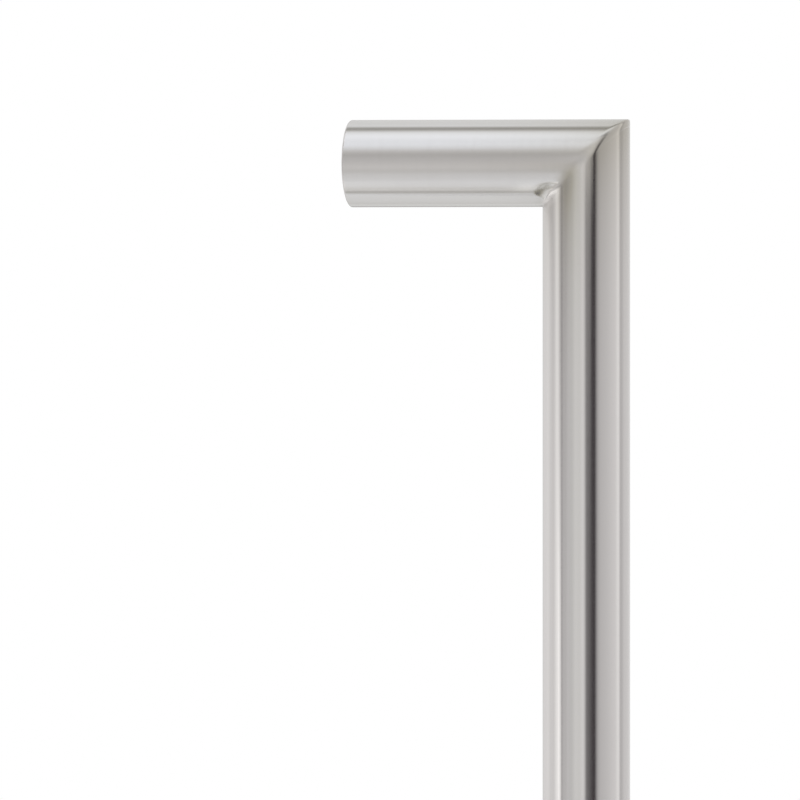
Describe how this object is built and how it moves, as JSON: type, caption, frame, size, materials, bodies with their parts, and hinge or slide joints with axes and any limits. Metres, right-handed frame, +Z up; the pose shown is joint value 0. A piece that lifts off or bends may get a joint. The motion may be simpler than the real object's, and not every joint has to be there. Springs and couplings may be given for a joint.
{
  "type": "mitred pull handle",
  "caption": "D-shaped round-tube door pull handle with square mitred and welded corners, satin steel finish and a threaded plug in each foot.",
  "frame": {"origin": "on the door's face, midway between the axes of the two fixing holes", "axes": "+X away from the door, +Z up along the grip, +Y to the side"},
  "size_m": [0.062, 0.019, 0.244],
  "materials": {
    "satin_stainless": "satin stainless tube, grain running round the tube",
    "dressed_weld": "weld metal dressed flush and blended into the satin tube",
    "turned_steel": "lathe-turned stainless, fine concentric marks"
  },
  "bodies": {
    "root": {"grip_tube": "satin_stainless", "upper_leg_tube": "satin_stainless", "lower_leg_tube": "satin_stainless", "upper_mitre_weld": "dressed_weld", "lower_mitre_weld": "dressed_weld", "upper_threaded_plug": "turned_steel", "lower_threaded_plug": "turned_steel"}
  },
  "joints": []
}
